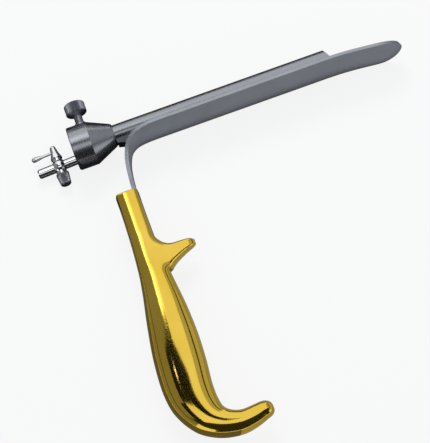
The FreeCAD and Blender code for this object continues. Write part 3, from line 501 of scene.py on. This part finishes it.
def strap_place(x):
    """The place between rows at which the strap's middle line reaches x."""
    low, high = 0.0, len(STRAP_ROWS) - 1.0
    for _ in range(HALVINGS):
        middle = (low + high) / 2
        if smooth_row(STRAP_ROWS, middle)[0] < x:
            low = middle
        else:
            high = middle
    return low


def strap_spot(place, share):
    """A spot on the strap's upper face, share of the half width from its middle line."""
    x, y, half, camber = smooth_row(STRAP_ROWS, place)
    before = smooth_row(STRAP_ROWS, max(place - SLOPE_STEP, 0))
    after = smooth_row(STRAP_ROWS, min(place + SLOPE_STEP, len(STRAP_ROWS) - 1))
    along = Vector((after[0] - before[0], after[1] - before[1], 0)).normalized()
    up = Vector((-along.y, along.x, 0))
    return (Vector((x, y, share * half)) + up * camber * share * share) * MM


sheet = bmesh.new()
bmesh.ops.create_grid(sheet, x_segments=ALONG, y_segments=ACROSS, size=0.5)
straight_end = strap_place(ROUND_START)
# The square end of the grid is laid over half an ellipse, so that no faces crowd at the tip.
for corner in sheet.verts:
    share = 2 * corner.co.y
    step = round((corner.co.x + 0.5) * ALONG)
    if step <= ALONG - TIP_STEPS:
        corner.co = strap_spot(step / (ALONG - TIP_STEPS) * straight_end, share)
    else:
        out = (step - ALONG + TIP_STEPS) / TIP_STEPS
        x = ROUND_START + ROUND_LONG * out * math.sqrt(1 - share * share / 2)
        corner.co = strap_spot(strap_place(x), share * math.sqrt(1 - out * out / 2))
blade = finished_object("blade_strap", sheet)
if blade.data.polygons[ALONG * ACROSS // 2].normal.y < 0:
    blade.data.flip_normals()
wall = blade.modifiers.new("wall", "SOLIDIFY")
wall.thickness = STRAP_THICK * MM
wall.offset = -1
wall.use_even_offset = True
soften = blade.modifiers.new("edge", "BEVEL")
soften.width = EDGE_ROUND * MM
soften.segments = 3
soften.limit_method = "ANGLE"
soften.angle_limit = math.radians(EDGE_FROM)
soften.harden_normals = True


def steel(name, colour_low, colour_high, rough_low, rough_high, grain, stretch, bump):
    """Steel or chrome with grinding lines: grain per metre, scaled along each axis by stretch."""
    paint = bpy.data.materials.new(name)
    tree, add = tree_of(paint)
    place = add("ShaderNodeTexCoord")
    lines_map = add("ShaderNodeMapping")
    lines_map.inputs["Scale"].default_value = stretch
    lines = add("ShaderNodeTexNoise", Scale=grain, Detail=5.0, Roughness=0.65)
    cloud = add("ShaderNodeTexNoise", Scale=60.0, Detail=3.0)
    tone = add("ShaderNodeValToRGB")
    tone.color_ramp.elements[0].position = 0.3
    tone.color_ramp.elements[0].color = (*colour_low, 1)
    tone.color_ramp.elements[1].position = 0.7
    tone.color_ramp.elements[1].color = (*colour_high, 1)
    both = add("ShaderNodeMix", data_type="FLOAT")
    both.inputs[0].default_value = 0.5
    polish = add("ShaderNodeMapRange")
    polish.inputs["From Min"].default_value = 0.3
    polish.inputs["From Max"].default_value = 0.7
    polish.inputs["To Min"].default_value = rough_low
    polish.inputs["To Max"].default_value = rough_high
    grind = add("ShaderNodeBump", Strength=bump, Distance=0.0001)
    metal = add("ShaderNodeBsdfPrincipled", Metallic=1.0)
    out = add("ShaderNodeOutputMaterial")
    link = tree.links.new
    link(place.outputs["Object"], lines_map.inputs["Vector"])
    link(lines_map.outputs[0], lines.inputs["Vector"])
    link(place.outputs["Object"], cloud.inputs["Vector"])
    link(lines.outputs["Fac"], both.inputs[2])
    link(cloud.outputs["Fac"], both.inputs[3])
    link(both.outputs[0], tone.inputs[0])
    link(tone.outputs[0], metal.inputs["Base Color"])
    link(lines.outputs["Fac"], polish.inputs["Value"])
    link(polish.outputs[0], metal.inputs["Roughness"])
    link(lines.outputs["Fac"], grind.inputs["Height"])
    link(grind.outputs[0], metal.inputs["Normal"])
    link(metal.outputs[0], out.inputs[0])
    return paint


blasted = steel(
    "blasted_steel", (0.42, 0.45, 0.49), (0.50, 0.53, 0.58), 0.46, 0.60, 2600, (0.25, 1, 1), 0.2
)
blade.data.materials.append(blasted)
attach(blade, "frame")
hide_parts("blade")


# Scope tube and housing. The tube is drawn steel with its end cut slanting; the housing is
# turned from bar. Both are ground round, so that the fine lines run about the bore.
turned_satin = steel(
    "satin_steel", (0.32, 0.34, 0.37), (0.35, 0.37, 0.40), 0.24, 0.30, 1500, (2.2, 0.35, 0.35), 0.025
)


def dress(paint, *nodes):
    """Give CAD pieces that keep their own shape their finish."""
    for node in nodes:
        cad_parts[node].data.materials.clear()
        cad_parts[node].data.materials.append(paint)


dress(turned_satin, "scope_tube", "clamp_housing", "screw_bush")


# Thumb screw. Turned from steel and blackened, with a fine straight knurl rolled round its
# head; the plain stem runs down through the bush to a cut thread and the button in the pad.
SCREW_PLACE = Matrix.Translation((9.2 * MM, 0, 0))
THREAD_RADIUS, THREAD_DEEP = 2.0, 0.3
THREAD_LOW, THREAD_RISE, THREAD_STEPS = 8.5, 0.35, 14
SCREW_THREAD = [
    (THREAD_RADIUS - THREAD_DEEP * (step % 2), THREAD_LOW + THREAD_RISE * step, 0)
    for step in range(THREAD_STEPS)
]
# Each ring is radius, height and depth of the knurl, from the bottom up. The thread is drawn as
# plain rings.
SCREW_RINGS = (
    (0.9, 6.35, 0), (1.1, 6.5, 0), (1.1, 7.2, 0), (0.95, 7.35, 0), (0.8, 7.38, 0), (0.8, 8.3, 0),
    (1.6, 8.3, 0), *SCREW_THREAD, (1.7, 13.35, 0), (2.4, 13.35, 0), (2.6, 13.55, 0), (2.6, 19.3, 0),
    (2.75, 19.65, 0), (3.1, 19.9, 0), (6.1, 21.55, 0), (6.3, 21.75, 0.12), (6.48, 21.95, 0.3),
    (6.5, 22.15, 0.3), (6.5, 27.3, 0.3), (6.44, 27.65, 0.28), (6.26, 27.96, 0.2), (5.95, 28.14, 0),
    (5.6, 28.2, 0), (4.4, 28.2, 0), (4.2, 28.05, 0), (1.0, 28.05, 0), (0.7, 27.8, 0),
)
SCREW_SIDES = 112
SHARP_FROM = 32


def ringed(name, loops, place, closed=False):
    """A piece skinned over loops of points: capped at both ends, or closed on itself like a washer."""
    shape = bmesh.new()
    corner_layer = shape.verts.layers.int.new("corner")
    shape.verts.layers.int.new("row")
    bmesh.ops.create_circle(shape, cap_ends=not closed, segments=len(loops[0]), radius=1)
    shape.verts.ensure_lookup_table()
    for number, corner in enumerate(shape.verts):
        corner[corner_layer] = number
        corner.co = loops[0][number]
    first = edges = list(shape.edges)
    for row, points in enumerate(loops[1:]):
        edges = carry_ring(shape, edges, points, row)
    if closed:
        bmesh.ops.bridge_loops(shape, edges=first + edges)
    else:
        bmesh.ops.contextual_create(shape, geom=edges)
    bmesh.ops.transform(shape, matrix=place, verts=shape.verts)
    made = finished_object(name, shape)
    made.data.set_sharp_from_angle(angle=math.radians(SHARP_FROM))
    return made


def turned_piece(name, rings, sides, place):
    """A piece turned about Y from rings, with every other corner cut in by the groove."""
    loops = []
    for radius, height, groove in rings:
        loops.append([])
        for number in range(sides):
            angle = 2 * math.pi * number / sides
            wide = radius - groove * (number % 2)
            loops[-1].append(Vector((wide * math.cos(angle), height, wide * math.sin(angle))) * MM)
    return ringed(name, loops, place)


blackened = steel(
    "blackened_steel", (0.22, 0.23, 0.26), (0.29, 0.30, 0.34), 0.26, 0.38, 1800, (1, 1, 1), 0.08
)
screw = turned_piece("thumb_screw_knurled", SCREW_RINGS, SCREW_SIDES, SCREW_PLACE)
screw.data.materials.append(blackened)
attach(screw, "screw")
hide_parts("thumb_screw")


# Saddle. The little steel block under the tube, milled to fit and brazed between the tube and the
# bend of the blade. Its colour is painted near black as painted shade, for where it sits under the
# tube between the tube and the blade.
# Painted shade: a near-black steel colour standing in for the shade under the tube.
painted_shade_steel = steel(
    "painted_shade_dark_steel", (0.05, 0.055, 0.065), (0.11, 0.115, 0.13), 0.32, 0.46, 1200, (1, 1, 1), 0.1
)
dress(painted_shade_steel, "tube_saddle")


# Brazing. Silver braze fills the corner round the tang where it goes into the handle, and runs
# in a thin bead along both sides of the tube where it lies on the blade.
braze = steel("silver_braze", (0.55, 0.54, 0.50), (0.66, 0.65, 0.61), 0.28, 0.42, 700, (1, 1, 1), 0.3)
TANG_MIDDLE, TANG_HALF_THICK, TANG_HALF_WIDE = 27.1, 1.2, 4.8
TANG_SIDES = 48
TANG_SQUARE = 0.3
TANG_BEAD = ((0.03, -41.2), (0.6, -41.2), (0.85, -40.45), (0.5, -40.3), (0.22, -40.05), (0.03, -39.6))
tang_loops = []
for out, height in TANG_BEAD:
    tang_loops.append([])
    for number in range(TANG_SIDES):
        angle = 2 * math.pi * number / TANG_SIDES
        across = math.copysign(abs(math.cos(angle)) ** TANG_SQUARE, math.cos(angle)) * (TANG_HALF_THICK + out)
        side = math.copysign(abs(math.sin(angle)) ** TANG_SQUARE, math.sin(angle)) * (TANG_HALF_WIDE + out)
        tang_loops[-1].append(Vector((TANG_MIDDLE + across, height, side)) * MM)
tang_bead = ringed("tang_braze", tang_loops, Matrix(), closed=True)
tang_bead.data.materials.append(braze)
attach(tang_bead, "frame")
BEAD_SHAPE = ((0.9, -6.02), (3.0, -5.92), (2.55, -5.68), (2.3, -5.5), (1.6, -5.75), (0.95, -5.9))
BEAD_SIDE, BEAD_UP = 1.9, -5.85
# Where along the tube each ring of a bead lies, and how full the bead is there.
BEAD_RUN = (
    (52, 0.3), (52.6, 0.8), (54, 1), (70, 0.94), (88, 1.05), (106, 0.95), (124, 1.04), (142, 0.96),
    (157, 1), (158.4, 0.8), (159, 0.3),
)
for name, side in (("tube_braze_near", 1), ("tube_braze_far", -1)):
    bead_loops = []
    for x, full in BEAD_RUN:
        bead_loops.append([])
        for across, up in BEAD_SHAPE:
            spot = (x, BEAD_UP + (up - BEAD_UP) * full, side * (BEAD_SIDE + (across - BEAD_SIDE) * full))
            bead_loops[-1].append(Vector(spot) * MM)
    bead = ringed(name, bead_loops, Matrix())
    bead.data.materials.append(braze)
    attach(bead, "frame")


# Stopcock. Turned from brass, polished and plated with chrome; the plug is lapped into its
# body and held from below by a disc spring and a knurled nut.
chrome = steel("bright_chrome", (0.80, 0.82, 0.84), (0.85, 0.87, 0.89), 0.03, 0.07, 3000, (1, 1, 1), 0.005)
dull_chrome = steel("dull_chrome", (0.34, 0.35, 0.37), (0.44, 0.45, 0.47), 0.30, 0.44, 4000, (1, 1, 1), 0.15)
dress(chrome, "port_tube", "cock_body", "rear_nipple")
dress(chrome, "cock_hub", "cock_lever", "cock_plug", "stop_pin", "cock_washer")
dress(dull_chrome, "cock_spring")
COCK_LEAN = 2.5
COCK_PLACE = Matrix.Translation((-11.4 * MM, -3.5 * MM, -9.5 * MM)) @ Matrix.Rotation(
    math.radians(COCK_LEAN), 4, "Z"
)
NUT_SIDES = 80
NUT_RINGS = (
    (1.1, -11.95, 0), (1.25, -11.8, 0), (1.25, -6.3, 0), (1.45, -6.1, 0), (3.35, -6.1, 0), (3.45, -6.0, 0),
    (3.45, -5.5, 0), (3.55, -5.4, 0), (3.9, -5.4, 0), (4.05, -5.55, 0), (4.05, -6.1, 0), (4.0, -6.5, 0.22),
    (3.95, -6.9, 0.28), (3.43, -11.4, 0.28), (3.37, -11.9, 0.2), (3.25, -12.3, 0.1), (2.97, -12.71, 0),
    (2.65, -12.9, 0), (2.3, -12.95, 0), (0.8, -12.95, 0),
)
nut = turned_piece("cock_nut_knurled", NUT_RINGS, NUT_SIDES, COCK_PLACE)
nut.data.materials.append(dull_chrome)
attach(nut, "plug")
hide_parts("cock_nut")


# Seal and pressure pad. The seal is a moulded ring of black silicone rubber, held in the housing by
# a screwed ring; the pad is turned from a pale plastic that does not scratch the endoscope.
def moulded(name, colour, roughness, grain, depth):
    """Rubber or plastic with a fine grain in its skin."""
    paint = bpy.data.materials.new(name)
    tree, add = tree_of(paint)
    place = add("ShaderNodeTexCoord")
    skin = add("ShaderNodeTexNoise", Scale=grain, Detail=4.0)
    tone = add("ShaderNodeValToRGB")
    tone.color_ramp.elements[0].color = (*[part * 0.8 for part in colour], 1)
    tone.color_ramp.elements[1].color = (*colour, 1)
    press = add("ShaderNodeBump", Strength=depth, Distance=0.0001)
    body = add("ShaderNodeBsdfPrincipled", Roughness=roughness)
    out = add("ShaderNodeOutputMaterial")
    tree.links.new(place.outputs["Object"], skin.inputs["Vector"])
    tree.links.new(skin.outputs["Fac"], tone.inputs[0])
    tree.links.new(tone.outputs[0], body.inputs["Base Color"])
    tree.links.new(skin.outputs["Fac"], press.inputs["Height"])
    tree.links.new(press.outputs[0], body.inputs["Normal"])
    tree.links.new(body.outputs[0], out.inputs[0])
    return paint


dress(dull_chrome, "seal_retainer")
dress(moulded("silicone_rubber", (0.016, 0.016, 0.018), 0.55, 1500, 0.3), "scope_seal")
dress(moulded("turned_plastic", (0.80, 0.77, 0.68), 0.38, 900, 0.15), "pressure_pad")
